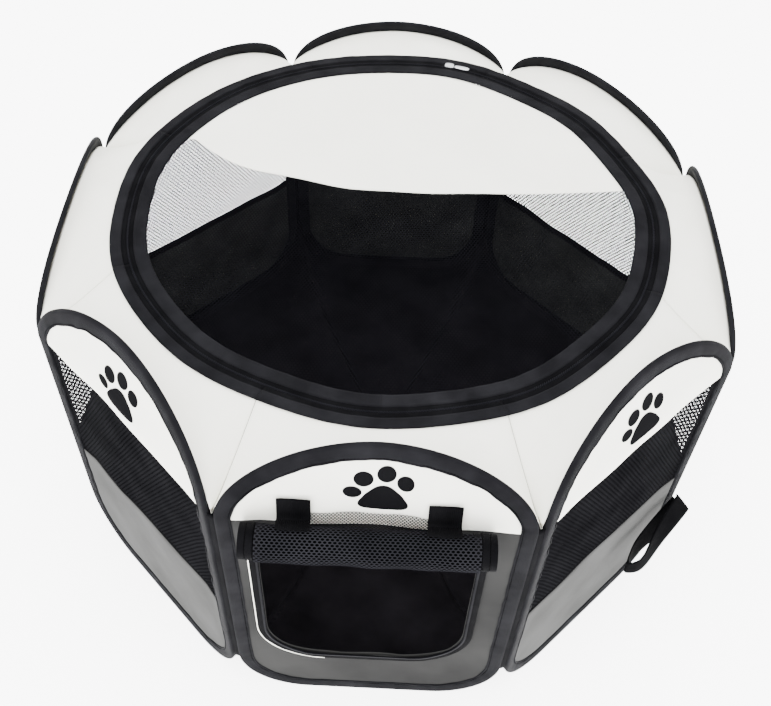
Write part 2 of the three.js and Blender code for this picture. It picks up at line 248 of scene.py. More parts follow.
# ---- procedural materials ----
class Look:
    """A material in the making: its nodes, and the coordinates that place its patterns."""

    def __init__(self, name, coordinates="UV"):
        self.material = bpy.data.materials.new(name)
        self.material.use_nodes = True
        self.tree = self.material.node_tree
        self.coordinates = self.node("TexCoord", {}).outputs[coordinates]

    def feed(self, node, inputs):
        """Sets each input of a node to a value, or joins it to another node's output."""
        for name, value in inputs.items():
            if isinstance(value, bpy.types.NodeSocket):
                self.tree.links.new(value, node.inputs[name])
            else:
                node.inputs[name].default_value = value

    def node(self, kind, inputs, **settings):
        made = self.tree.nodes.new(f"ShaderNode{kind}")
        for name, value in settings.items():
            setattr(made, name, value)
        self.feed(made, inputs)
        return made

    def math(self, operation, *values):
        return self.node("Math", dict(enumerate(values)), operation=operation).outputs[0]

    def vector(self, operation, *values):
        return self.node("VectorMath", dict(enumerate(values)), operation=operation).outputs[0]

    def noise(self, scale, detail):
        inputs = {"Vector": self.coordinates, "Scale": scale, "Detail": detail}
        return self.node("TexNoise", inputs).outputs["Fac"]

    def bumps(self, height, distance, strength):
        inputs = {"Height": height, "Distance": distance, "Strength": strength}
        return self.node("Bump", inputs).outputs["Normal"]

    def shades(self, factor, *stops):
        """A colour between two stops of (position, colour), chosen by a factor."""
        ramp = self.node("ValToRGB", {"Fac": factor})
        for element, (position, colour) in zip(ramp.color_ramp.elements, stops):
            element.position = position
            element.color = (*colour, 1)
        return ramp.outputs["Color"]

    def threads(self, axis, per_metre):
        """A wave from -1 to 1 along one axis of the coordinates."""
        split = self.node("SeparateXYZ", {0: self.coordinates})
        return self.math("SINE", self.math("MULTIPLY", split.outputs[axis], 2 * math.pi * per_metre))

    def finished(self, inputs):
        """Feeds the shader, and gives the material."""
        self.feed(self.tree.nodes["Principled BSDF"], inputs)
        return self.material


def brighter(colour, times):
    """A colour some times as bright, and never quite black."""
    return tuple(channel * times + 0.001 for channel in colour)


def cloth_material(name, light, dark, roughness, threads, patches=9.0):
    """Woven cloth: slow uneven shading, a fine over-and-under weave and a soft sheen."""
    look = Look(name)
    crossed = look.math("MULTIPLY", look.threads(0, threads), look.threads(1, threads))
    weave = look.math("MULTIPLY_ADD", crossed, 0.5, 0.5)
    return look.finished({
        "Base Color": look.shades(look.noise(patches, 4.0), (0.3, dark), (0.7, light)),
        "Normal": look.bumps(weave, 0.2 * MM, 0.5),
        "Roughness": roughness,
        "Sheen Weight": 0.01,
        "Sheen Roughness": 0.4,
        "Specular IOR Level": 0.0,
    })


def hexagon_edges(look, cell, squeeze):
    """How far a point is from the middle of its hexagonal cell, from 0 to 0.5 at the cell's edge."""
    ratio = math.sqrt(3)
    far_off = 100  # whole cells, so that no coordinate is negative
    scaled = look.vector("MULTIPLY", look.coordinates, (1 / cell, squeeze / cell, 0))
    offsets = []
    for across, along in ((0.0, 0.0), (0.5, ratio / 2)):
        moved = look.vector("ADD", scaled, (across + far_off, along + far_off * ratio, 0))
        split = look.node("SeparateXYZ", {0: moved})
        pair = []
        for output, period in ((split.outputs[0], 1.0), (split.outputs[1], ratio)):
            inside = look.math("FLOORED_MODULO", output, period)
            pair.append(look.math("ABSOLUTE", look.math("SUBTRACT", inside, period / 2)))
        slanted = look.math("MULTIPLY", pair[1], ratio / 2)
        leaning = look.math("MULTIPLY_ADD", pair[0], 0.5, slanted)
        offsets.append(look.math("MAXIMUM", pair[0], leaning))
    return look.math("MINIMUM", *offsets)


def net_material(name, colour, cell, thread, squeeze=1.0):
    """Knitted net: threads along the edges of hexagonal cells, and nothing between them."""
    look = Look(name)
    return look.finished({
        "Alpha": look.math("GREATER_THAN", hexagon_edges(look, cell, squeeze), 0.5 - thread / cell / 2),
        "Base Color": look.shades(look.noise(14.0, 2.0), (0.3, colour), (0.8, brighter(colour, 1.8))),
        "Roughness": 0.55,
        "Specular IOR Level": 0.0,
    })


def tape_material(name, colour, ribs, roughness=0.6, worn=1.7):
    """Ribbed polyester tape or webbing, ribs running along it."""
    look = Look(name)
    return look.finished({
        "Base Color": look.shades(look.noise(22.0, 3.0), (0.35, colour), (0.75, brighter(colour, worn))),
        "Normal": look.bumps(look.threads(1, ribs), 0.3 * MM, 0.6),
        "Roughness": roughness,
        "Sheen Weight": 0.008,
        "Sheen Roughness": 0.35,
        "Specular IOR Level": 0.004,
    })


def metal_material(name, colour, roughness):
    """Bare metal with fine scratches that spread its shine."""
    look = Look(name, "Object")
    return look.finished({
        "Base Color": (*colour, 1),
        "Metallic": 1.0,
        "Roughness": look.math("MULTIPLY_ADD", look.noise(400.0, 4.0), 0.25, roughness),
    })


cream = cloth_material("cream_polyester", (0.90, 0.895, 0.82), (0.85, 0.845, 0.77), 0.72, 900)
# The back of the cream cloth is the same cream as its face, painted darker and browner: painted shade on its
# underside.
cream_back_painted_shade = cloth_material("cream_polyester_back_painted_shade", (0.30, 0.27, 0.21), (0.24, 0.22, 0.17), 0.8, 900)
grey = cloth_material("grey_oxford", (0.076, 0.076, 0.075), (0.052, 0.052, 0.051), 0.75, 700)
# The front panel's grey is the same oxford as the other bands, painted darker and in broader patches:
# painted shade.
front_grey_painted_shade = cloth_material(
    "front_grey_oxford_painted_shade", (0.032, 0.032, 0.0315), (0.017, 0.017, 0.017), 0.75, 700, patches=6.0,
)
lining = cloth_material("dark_lining", (0.030, 0.031, 0.030), (0.014, 0.0145, 0.014), 0.6, 600, patches=16.0)
floor_cloth = cloth_material(
    "floor_oxford", (0.010, 0.0092, 0.011), (0.0045, 0.0042, 0.005), 0.55, 500, patches=12.0,
)
binding_tape = tape_material("binding_tape", (0.0055, 0.0055, 0.0064), 900, 0.5, 1.8)
zip_tape = tape_material("zip_tape", (0.0022, 0.0022, 0.0026), 1100, 0.6)
webbing = tape_material("black_webbing", (0.0018, 0.0018, 0.0021), 500, 0.65)
coil_plastic = tape_material("zip_coil_plastic", (0.004, 0.004, 0.005), 300, 0.35)
seam_tape = tape_material("seam_tape", (0.0025, 0.0025, 0.003), 800, 0.6)
side_net = net_material("side_net", (0.0035, 0.0035, 0.004), 6 * MM, 3.0 * MM, 1.15)
cover_net = net_material("cover_net", (0.003, 0.003, 0.004), 4.5 * MM, 0.62 * MM)
roll_net = net_material("roll_net", (0.0075, 0.0075, 0.009), 5.5 * MM, 1.7 * MM, 1.4)
roll_inside = cloth_material(
    "rolled_layers", (0.0012, 0.0012, 0.0015), (0.0008, 0.0008, 0.001), 0.6, 700, patches=40.0,
)
strip_net = net_material("strip_net", (0.006, 0.006, 0.007), 4.2 * MM, 1.3 * MM, 1.4)
print_ink = cloth_material("printed_ink", (0.0045, 0.0045, 0.005), (0.003, 0.003, 0.0035), 0.6, 900)
spring_steel = metal_material("spring_steel", (0.55, 0.56, 0.58), 0.3)
zinc = metal_material("zip_zinc", (0.62, 0.63, 0.65), 0.22)


# ---- the outline that every hoop shares, as (across, height) ----
def hoop_outline(step=3 * MM):
    """
    Evenly spaced points round a hoop, anticlockwise as seen from outside, from the middle of its foot,
    with the direction inwards at each and how far round each is.
    """
    corner = np.linspace(0, math.pi / 2, 40)
    right_foot = np.stack([
        HALF - BOTTOM_RADIUS + BOTTOM_RADIUS * np.sin(corner),
        BOTTOM_RADIUS - BOTTOM_RADIUS * np.cos(corner),
    ], axis=1)
    arch = np.linspace(0, math.pi, 400)
    power = 2 / ARCH_POWER
    crown = np.stack([
        HALF * np.sign(np.cos(arch)) * np.abs(np.cos(arch)) ** power,
        SPRING + (TOP - SPRING) * np.sin(arch).clip(0) ** power,
    ], axis=1)
    left_foot = right_foot[::-1] * (-1, 1)
    loop = np.vstack([[(0, 0)], right_foot, crown, left_foot, [(0, 0)]])
    lengths = distances(loop)
    count = int(lengths[-1] / step)
    stations = np.linspace(0, lengths[-1], count, endpoint=False)
    even = np.stack([np.interp(stations, lengths, loop[:, i]) for i in (0, 1)], axis=1)
    for _ in range(6):
        even = (np.roll(even, 1, axis=0) + 2 * even + np.roll(even, -1, axis=0)) / 4
    ahead = np.roll(even, -1, axis=0) - np.roll(even, 1, axis=0)
    ahead /= np.linalg.norm(ahead, axis=1)[:, None]
    inward = np.stack([-ahead[:, 1], ahead[:, 0]], axis=1)
    return even, inward, stations


OUTLINE, INWARD, STATIONS = hoop_outline()


def arch_height(across, inset):
    """Height of the arch over a place across the panel, measured this far inside the hoop."""
    share = np.clip(np.abs(across) / (HALF - inset), 0, 1)
    return SPRING + (TOP - SPRING - inset) * (1 - share ** ARCH_POWER) ** (1 / ARCH_POWER)


def half_width(height, inset):
    """Half the width at a height below the arch, measured this far inside the hoop."""
    drop = np.clip((BOTTOM_RADIUS - height) / (BOTTOM_RADIUS - inset), 0, 1)
    return HALF - BOTTOM_RADIUS + (BOTTOM_RADIUS - inset) * np.sqrt(1 - drop ** 2)


def lean(height):
    """How far the canopy draws the arch inwards at a height."""
    share = np.clip((np.asarray(height) - SPRING) / (TOP - SPRING), 0, 1)
    return CROWN_LEAN * share ** 1.5


# ---- panel cloth lies a little unevenly in its hoop ----
def cloth_depth(side, across, height):
    """How far the panel's cloth lies out from the middle of the hoop; it is held flat at its edges."""
    from_sides = half_width(height, CLOTH_INSET) - np.abs(across)
    from_ends = np.minimum(height - CLOTH_INSET, arch_height(across, CLOTH_INSET) - height)
    held = np.clip((np.minimum(from_sides, from_ends) - 6 * MM) / (30 * MM), 0, 1)
    uneven = 1.5 * MM * ripples(across, height, 0.13, 10 + side)
    creases = 0.9 * MM * folds(across, height, 0.095, 0.6 + side, 40 + side)
    return held * (uneven + creases - 1.9 * MM) - lean(height)


# ---- a hoop's binding: tape folded over the wire and stitched along its inner edge ----
def binding_section():
    """The binding cut across, as (inward, outward) points, with a bulge over the wire."""
    bulge = 0.47 * RIM
    round_wire = np.linspace(0.5 * math.pi, 1.5 * math.pi, 7)[::-1]
    wire = [(bulge + bulge * math.cos(a) * 0.98, bulge * math.sin(a)) for a in round_wire]
    outer_face = [(8 * MM, 3.6 * MM), (12 * MM, 2.7 * MM)]
    groove = [
        (BINDING_WIDTH - 3.4 * MM, 2.2 * MM),
        (BINDING_WIDTH - 2.7 * MM, 1.6 * MM),
        (BINDING_WIDTH - 2 * MM, 2.2 * MM),
    ]
    edge = [(BINDING_WIDTH, 1.6 * MM), (BINDING_WIDTH, -1.6 * MM)]
    inner_face = [(BINDING_WIDTH - 3 * MM, -2.2 * MM), (12 * MM, -2.7 * MM), (8 * MM, -3.6 * MM)]
    return np.array(wire + outer_face + groove + edge + inner_face)


def hoop_binding(side):
    """The binding of one hoop, puckered along its stitched edge."""
    section = binding_section()
    depth, thick = section[:, 0][None, :], section[:, 1][None, :]
    s = STATIONS[:, None]
    looseness = np.clip((depth - 5 * MM) / BINDING_WIDTH, 0, 1)
    pucker = looseness * 0.9 * MM * ripples(s + 7 * side, depth, 0.024, 70 + side, 9)
    edge = looseness * 0.8 * MM * ripples(s, 0 * depth, 0.05, 90 + side)
    across = OUTLINE[:, 0][:, None] + INWARD[:, 0][:, None] * (depth + edge)
    height = OUTLINE[:, 1][:, None] + INWARD[:, 1][:, None] * (depth + edge)
    points = place(side, across, PLANE + thick + pucker - lean(height), height)
    uvs = pairs(s, depth + thick)
    made = swept(f"{SIDES[side]}_binding_tape", points, uvs, binding_tape)
    rides(made, f"{SIDES[side]}_panel", "black_tape", f"{SIDES[side]}_hoop_binding")


BOX_FACES = ((0, 1, 3, 2), (4, 6, 7, 5), (0, 4, 5, 1), (2, 3, 7, 6), (1, 5, 7, 3), (0, 2, 6, 4))


def stitch_line(side):
    """A row of lockstitches along the inner edge of the binding, on both faces of it."""
    pitch, length, thickness = 4.2 * MM, 2.6 * MM, 0.45 * MM
    sunk, proud = 1.4 * MM, 2.5 * MM
    perimeter = STATIONS[-1] + STATIONS[1]
    count = int(perimeter / pitch)
    starts = np.arange(count) * pitch
    depth = BINDING_WIDTH - 2.9 * MM
    points, faces, uvs = [], [], []
    closed = np.append(STATIONS, perimeter)
    for face in (1, -1):
        for start in starts:
            ends = []
            for s in (start, start + length):
                line = [np.interp(s, closed, np.append(table[:, i], table[0, i]))
                        for table in (OUTLINE, INWARD) for i in (0, 1)]
                ends.append((line[0] + line[2] * depth, line[1] + line[3] * depth, line[2], line[3]))
            first = len(points)
            for across, height, inward_across, inward_height in ends:
                for offset in (-1, 1):
                    for lift in (sunk, proud):
                        wide = offset * thickness
                        tall = height + inward_height * wide
                        points.append(place(
                            side, across + inward_across * wide, PLANE + face * lift - lean(tall), tall,
                        ))
                        uvs.append((start, wide))
            for quad in BOX_FACES:
                faces.append(tuple(first + i for i in quad))
    made = make_mesh(
        f"{SIDES[side]}_binding_stitches", points, faces, uvs,
        np.zeros(len(faces)), [seam_tape], smooth=False,
    )
    rides(made, f"{SIDES[side]}_panel", "black_tape")


# ---- cloth, net and print of one panel ----
def arch_cloth(side, columns=61, rows=22):
    """The cream cloth that fills the arch of one panel."""
    edge = HALF - CLOTH_INSET
    across = edge * np.sin(np.linspace(-math.pi / 2, math.pi / 2, columns))[None, :]
    share = np.linspace(0, 1, rows)[:, None]
    low = CREAM_LOW + 1.6 * MM * ripples(across, 0 * across, 0.12, 120 + side)
    height = low + (arch_height(across, CLOTH_INSET) - low).clip(1 * MM) * share
    depth = PLANE + cloth_depth(side, across, height)
    name = f"{SIDES[side]}_arch_panel"
    made = panel_cloth(name, side, across, depth, height, CREAM_THICKNESS, cream, cream_back_painted_shade)
    rides(made, f"{SIDES[side]}_panel", "cream_cloth", f"{SIDES[side]}_arch_cloth")


def mesh_window(side, columns=37, rows=29):
    """The net window of one panel, a little slack in the middle."""
    edge = HALF - CLOTH_INSET
    across = np.linspace(-edge, edge, columns)[None, :]
    height = np.linspace(BAND_TOP - 4 * MM, CREAM_LOW + 6 * MM, rows)[:, None]
    middle = (1 - (across / edge) ** 2) * np.sin(np.linspace(0, math.pi, rows))[:, None]
    slack = 1.0 * MM + middle * 1.5 * MM * (1 + ripples(across, height, 0.2, 150 + side))
    depth = PLANE + cloth_depth(side, across, height) - slack
    uvs = pairs(across, height)
    made = single_sheet(f"{SIDES[side]}_net_window", place(side, across, depth, height), uvs, side_net)
    rides(made, f"{SIDES[side]}_panel", "black_net", f"{SIDES[side]}_mesh_window")


def lower_band(side, columns=41, rows=24):
    """The grey cloth below the net of one panel."""
    low = CLOTH_INSET
    height = (low + (BAND_TOP - low) * np.linspace(0, 1, rows) ** 1.4)[:, None]
    share = np.linspace(-1, 1, columns)[None, :]
    across = half_width(height, CLOTH_INSET) * share
    top = BAND_TOP + 1.2 * MM * ripples(across, 0 * across, 0.14, 180 + side)
    height = low + (height - low) * (top - low) / (BAND_TOP - low)
    depth = PLANE + cloth_depth(side, across, height)
    name = f"{SIDES[side]}_band_cloth"
    made = panel_cloth(name, side, across, depth, height, OXFORD_THICKNESS, grey, lining)
    rides(made, f"{SIDES[side]}_panel", "grey_oxford", f"{SIDES[side]}_lower_band")


def flat_tape(name, side, centre, width, thickness, depth, body, slot_name, material, seed, *stands_for):
    """A tape sewn flat along a line of (across, height) points on a panel, at a depth found from them."""
    centre = np.asarray(centre, float)
    beside = sideways(centre)
    s = distances(centre)[:, None]
    t = np.linspace(-0.5, 0.5, 5)[None, :] * width
    wavy = 0.35 * MM * ripples(s, t, 0.03, seed)
    across = centre[:, 0][:, None] + beside[:, 0][:, None] * t
    height = centre[:, 1][:, None] + beside[:, 1][:, None] * t
    uvs = pairs(s, t)
    made = double_sheet(
        name,
        place(side, across, depth(across, height) + thickness / 2 + wavy, height),
        place(side, across, depth(across, height) - thickness / 2 + wavy, height),
        uvs, material, material,
    )
    return rides(made, body, slot_name, *stands_for)


def band_top_tape(side):
    """The tape over the seam between the net and the grey cloth."""
    edge = HALF - BINDING_WIDTH
    line = [(x, BAND_TOP - 3 * MM) for x in np.linspace(-edge, edge, 40)]
    flat_tape(
        f"{SIDES[side]}_band_top_tape", side, line, 13 * MM, 1.1 * MM,
        lambda across, height: PLANE + cloth_depth(side, across, height) - 1.5 * MM,
        f"{SIDES[side]}_panel", "black_tape", seam_tape, 210 + side,
    )


def paw_print(side, middle, height):
    """Four toes and a pad, printed on the cream cloth as thin ink that follows it."""
    # Each toe in millimetres: across and up from the middle, half its width and length, and its tilt.
    toes = [
        (-28, -3, 10.5, 8, 0.15),
        (-16, 16, 11, 11, 0.3),
        (9, 24, 10.5, 12, 0.1),
        (30, 12, 9.5, 11, -0.2),
    ]
    angles = np.linspace(0, 2 * math.pi, 48, endpoint=False)
    blobs = []
    for x, z, wide, long, tilt in toes:
        ring = np.stack([wide * np.cos(angles), long * np.sin(angles)], axis=1)
        turned = ring @ np.array([[math.cos(tilt), -math.sin(tilt)], [math.sin(tilt), math.cos(tilt)]])
        blobs.append((turned + (x, z)) * MM)
    from_top = angles - math.pi / 2
    triangular = 1 + 0.15 * np.cos(3 * from_top) + 0.03 * np.cos(6 * from_top)
    pad = np.stack([26 * triangular * np.cos(angles), 17.5 * triangular * np.sin(angles)], axis=1)
    blobs.append((pad + (6, -13)) * MM)
    points, faces, uvs = [], [], []
    for blob in blobs:
        centre = blob.mean(axis=0)
        first = len(points)
        rings = [centre + (blob - centre) * share for share in (0.34, 0.67, 1.0)]
        flat = np.vstack([[centre], *rings]) + (middle, height)
        depth = PLANE + cloth_depth(side, flat[:, 0], flat[:, 1]) + 0.75 * MM
        points += list(place(side, flat[:, 0], depth, flat[:, 1]))
        uvs += [tuple(p) for p in flat]
        count = len(angles)
        for i in range(count):
            following = (i + 1) % count
            faces.append((first, first + 1 + i, first + 1 + following))
            for ring in range(2):
                inner = first + 1 + ring * count
                outer = inner + count
                faces.append((inner + i, outer + i, outer + following, inner + following))
    made = make_mesh(f"{SIDES[side]}_paw_print", points, faces, uvs, np.zeros(len(faces)), [print_ink])
    rides(made, f"{SIDES[side]}_panel", "black_tape")


# ---- canopy: gores from the arches to the zip ring ----
def round_pen(reach, bearing, height):
    """Points at a reach from the pen's axis, in the direction of a bearing from the door."""
    return np.stack(np.broadcast_arrays(reach * np.sin(bearing), -reach * np.cos(bearing), height), axis=-1)


def ring_wave(bearing):
    """The zip ring isn't quite flat or round: how far it strays outwards and upwards."""
    out = 1.6 * MM * np.sin(5 * bearing + 0.7) + 1.2 * MM * np.sin(11 * bearing + 2.1)
    up = 1.5 * MM * np.sin(4 * bearing + 1.9) + 1.1 * MM * np.sin(9 * bearing)
    return out, up


def canopy_gore(side, columns=65, rows=25):
    """One panel's part of the canopy, from inside its hoop's arch to the zip ring."""
    inside = PLANE - RIM / 2 + 0.5 * MM
    s = np.linspace(-1, 1, columns)[None, :]
    angle = s * math.pi / 2
    power = 2 / ARCH_POWER
    seam_inset = BINDING_WIDTH - 1 * MM
    arch_half = HALF - seam_inset
    arch_x = arch_half * np.sign(np.sin(angle)) * np.abs(np.sin(angle)) ** power
    arch_z = SPRING + (TOP - SPRING - seam_inset) * np.cos(angle).clip(0) ** power
    arch_out = inside - lean(arch_z)
    seam = inside * math.tan(TURN / 2) - 0.3 * MM
    from_x = arch_x * (1 + (seam / arch_half - 1) * (np.abs(arch_x) / arch_half) ** 6)
    bearing = s * (TURN / 2 - 0.001)
    stray, lift = ring_wave(bearing + side * TURN)
    reach = RING_OUTER - 3 * MM + stray * (1 - np.abs(s) ** 6)
    share = np.linspace(0, 1, rows)[:, None]
    across = from_x + (reach * np.sin(bearing) - from_x) * share
    outward = arch_out + (reach * np.cos(bearing) - arch_out) * share
    ring_height = RING_Z - 2.6 * MM + lift
    height = arch_z + (ring_height - arch_z) * share
    held = np.sin(math.pi * share) * (1 - np.abs(s) ** 8)
    height = height - 3.5 * MM * np.sin(math.pi * share)
    height = height + held * 2.4 * MM * ripples(across, outward, 0.11, 230 + side)
    height = height + held * 1.1 * MM * folds(across, outward, 0.07, 0.3 * side, 250 + side)
    seam_roll = np.exp(-(((1 - np.abs(s)) * HALF / (3.5 * MM)) ** 2))
    height = height + 0.9 * MM * seam_roll * np.sin(math.pi * share)
    run = np.sqrt((inside - reach * np.cos(bearing)) ** 2 + (arch_z - ring_height) ** 2)
    uvs = pairs(across, run * share)
    made = double_sheet(
        f"{SIDES[side]}_canopy_cloth",
        place(side, across, outward + 0.3 * MM, height + 0.3 * MM),
        place(side, across, outward - 0.3 * MM, height - 0.5 * MM),
        uvs, cream, cream_back_painted_shade,
    )
    rides(made, f"{SIDES[side]}_panel", "cream_cloth", f"{SIDES[side]}_canopy_gore")
    gathers(made, side)


def ring_strip(name, first, last, section, shift, material, steps):
    """A strip that runs round the zip ring between two bearings, with a section of (outward, up) points."""
    bearing = np.linspace(first, last, steps)[:, None]
    stray, lift = ring_wave(bearing)
    out, up = section[:, 0][None, :], section[:, 1][None, :]
    pucker = 0.5 * MM * ripples(bearing * RING_COIL, out, 0.03, shift)
    reach = RING_COIL + out + stray
    height = RING_Z + up + lift + pucker * (np.abs(out) > 6 * MM)
    points = round_pen(reach, bearing, height)
    uvs = pairs(bearing * RING_COIL, out + up)
    whole = abs(last - first) > 2 * math.pi - 0.01
    if whole:
        points, uvs = points[:-1], uvs[:-1]
    return swept(name, points[:, ::-1], uvs[:, ::-1], material, closed=whole)


def tape_section(inner, outer, low, high):
    """A flat tape's section with softened edges, from inner to outer."""
    soft = 0.6 * MM
    outs = np.linspace(inner + soft, outer - soft, 7)
    top = [(x, high) for x in outs]
    bottom = [(x, low) for x in outs[::-1]]
    return np.array([(inner, (low + high) / 2), *top, (outer, (low + high) / 2), *bottom])


def canopy_ring(side):
    """The canopy's half of the zip: its tape, and a wide binding that covers the raw edge of the gores."""
    first, last = (side - 0.5) * TURN, (side + 0.5) * TURN
    tape = ring_strip(
        f"{SIDES[side]}_canopy_zip_tape", first, last,
        tape_section(1.2 * MM, 13 * MM, -1.8 * MM, -0.9 * MM), 270, zip_tape, 48,
    )
    binding = ring_strip(
        f"{SIDES[side]}_canopy_ring_binding", first, last,
        tape_section(8 * MM, RING_OUTER - RING_COIL, -2.4 * MM, 0.6 * MM), 290, binding_tape, 48,
    )
    rides(tape, f"{SIDES[side]}_panel", "black_tape", "canopy_zip_tape")
    rides(binding, f"{SIDES[side]}_panel", "black_tape", "canopy_zip_tape")
    gathers(tape, side)
    gathers(binding, side)


# ---- the zipped cover ----
def flattens_to_door(obj):
    """Gives a piece of the cover a mesh of its own."""
    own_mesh(obj)


def cover_ring():
    """The cover's half of the zip: its tape, and the binding over the cover's raw edge."""
    tape = ring_strip(
        "cover_tape", 0, 2 * math.pi,
        tape_section(-16 * MM, -1.2 * MM, -1.8 * MM, -0.9 * MM), 310, zip_tape, 361,
    )
    binding = ring_strip(
        "cover_ring_binding", 0, 2 * math.pi,
        tape_section(RING_INNER - RING_COIL, -7 * MM, -2.4 * MM, 0.5 * MM), 311, binding_tape, 361,
    )
    for made in (tape, binding):
        rides(made, "top_cover", "black_tape", "cover_zip_tape")
        flattens_to_door(made)


def zip_coil():
    """The closed coil between the two tapes, a ridge with a fine twist."""
    pitch = 3 * MM
    samples = int(2 * math.pi * RING_COIL / pitch) * 4
    bearing = np.linspace(0, 2 * math.pi, samples, endpoint=False)[:, None]
    stray, lift = ring_wave(bearing)
    around = np.linspace(0, 2 * math.pi, 6, endpoint=False)[None, :]
    radius = 1.5 * MM + 0.45 * MM * np.sin(2 * math.pi * bearing * RING_COIL / pitch)
    reach = RING_COIL + stray + radius * np.cos(around)
    height = RING_Z - 1 * MM + lift + radius * np.sin(around)
    points = round_pen(reach, bearing, height)
    uvs = pairs(bearing * RING_COIL, around * MM)
    made = swept("top_zip_coil", points, uvs, coil_plastic)
    rides(made, "top_cover", "black_tape")
    flattens_to_door(made)


def top_slider():
    """The cover's zip slider, domed on top, and the flat pull that lies beside it."""
    t = np.linspace(0, 2 * math.pi, 40, endpoint=False)
    squarish = 2 / 3.2
    unit_x = np.sign(np.cos(t)) * np.abs(np.cos(t)) ** squarish
    unit_y = np.sign(np.sin(t)) * np.abs(np.sin(t)) ** squarish
    for name, long, wide, dome in (
        ("top_zip_slider", 14 * MM, 11 * MM, 0.45),
        ("top_zip_pull", 24 * MM, 8 * MM, 0.0),
    ):
        low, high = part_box(name)
        middle = (low + high) / 2
        tall = high.z - low.z
        bearing = math.atan2(middle.x, middle.y)
        across = long / 2 * unit_x
        beside = wide / 2 * unit_y
        turned_x = across * math.cos(bearing) + beside * math.sin(bearing)
        turned_y = beside * math.cos(bearing) - across * math.sin(bearing)
        rings = []
        for spread, up in ((0.0, 0.0), (0.94, 0.0), (1.0, 0.25), (1.0, 0.7), (0.9, 1 - dome), (0.3, 1.0)):
            height = np.full_like(t, low.z + up * tall)
            rings.append(np.stack(
                [middle.x + spread * turned_x, middle.y + spread * turned_y, height], axis=1,
            ))
        points = np.array(rings)
        made = swept(f"{name}_metal", points, points[..., :2], zinc, closed=False)
        rides(made, name, "zip_metal", name)
        flattens_to_door(made)


def shade_edge(x):
    """Where the cream half of the cover starts, over a place across the pen: its hem wanders."""
    left = np.clip((-x - 0.11) / 0.18, 0, 1)
    return 0.046 + 0.085 * left ** 2 + 0.015 * np.exp(-(((x + 0.15) / 0.06) ** 2)) + 0.14 * x.clip(0) ** 2


def cover_height(x, y):
    """The cover hangs a little in the middle, with slow waves."""
    sag = 9 * MM
    share = np.clip(np.hypot(x, y) / RING_INNER, 0, 1)
    loose = 1 - share ** 2
    bearing = np.arctan2(x, -y)
    lift = ring_wave(bearing)[1] * share ** 2
    return RING_Z - 2.2 * MM + lift - sag * loose + loose * 2.2 * MM * ripples(x, y, 0.17, 330)


def cover_cloth(columns=73, rows=41):
    """The cover's net and its cream cloth, which meet along the hem of the cream."""
    reach = RING_INNER + 3 * MM
    share = np.linspace(-1, 1, columns)[None, :]
    t = np.linspace(0, 1, rows)[:, None]
    x = reach * np.sin(share * math.pi / 2 * 0.985)
    rim = np.sqrt(reach ** 2 - x ** 2)
    hem = np.minimum(shade_edge(x), rim - 1 * MM)
    across = x + 0 * t
    net_y = -rim + (hem + 4 * MM + rim).clip(1 * MM) * t
    points = np.stack([across, net_y, cover_height(across, net_y) - 1 * MM], axis=-1)
    net = single_sheet("cover_net_cloth", points, pairs(across, net_y), cover_net)
    rides(net, "top_cover", "black_net", "cover_net")
    shade_y = hem + (rim - hem) * t
    top = np.stack([across, shade_y, cover_height(across, shade_y)], axis=-1)
    under = top - (0, 0, 0.7 * MM)
    shade = double_sheet("cover_shade_cloth", top, under, pairs(across, shade_y), cream, cream_back_painted_shade)
    rides(shade, "top_cover", "cream_cloth", "cover_shade")
    for made, portion in ((net, 0.62), (shade, 0.38)):
        flattens_to_door(made)


# ---- floor ----
def floor_part(side, columns=33, rows=41):
    """One panel's eighth of the floor, rumpled, with its edge turned up along the hoop's rounded corners."""
    inside = PLANE - RIM / 2 - 0.5 * MM
    share = np.append(np.linspace(0, 1, rows - 1) ** 0.8 * 0.9985, 1)[:, None]
    offset = np.linspace(-TURN / 2, TURN / 2, columns)[None, :]
    across_edge = inside * np.tan(offset)
    past = np.clip((np.abs(across_edge) - (HALF - BOTTOM_RADIUS)) / BOTTOM_RADIUS, 0, 1)
    rise = BOTTOM_RADIUS * (1 - np.sqrt(1 - past ** 2))
    hem = 15 * MM * (share > 0.999)
    edge = np.clip((share - 0.66) / 0.34, 0, 1)
    across = across_edge * share
    outward = inside * share + 0 * offset
    placed = place(side, across, outward, 0)
    wrinkle = ripples(placed[..., 0], placed[..., 1], 0.12, 350)
    creases = folds(placed[..., 0], placed[..., 1], 0.07, 0.9, 351)
    relief = (3.0 * MM + 2.0 * MM * wrinkle + 1.6 * MM * creases).clip(0.2 * MM) * (1 - share ** 8)
    height = 0.9 * MM + rise * edge ** 1.3 + relief + hem
    uvs = placed[..., :2]
    made = double_sheet(
        f"{SIDES[side]}_floor_cloth",
        place(side, across, outward, height),
        place(side, across, outward, height - 0.8 * MM),
        uvs, floor_cloth, floor_cloth,
    )
    rides(made, f"{SIDES[side]}_panel", "floor_cloth", "floor_sheet")
    gathers(made, side)


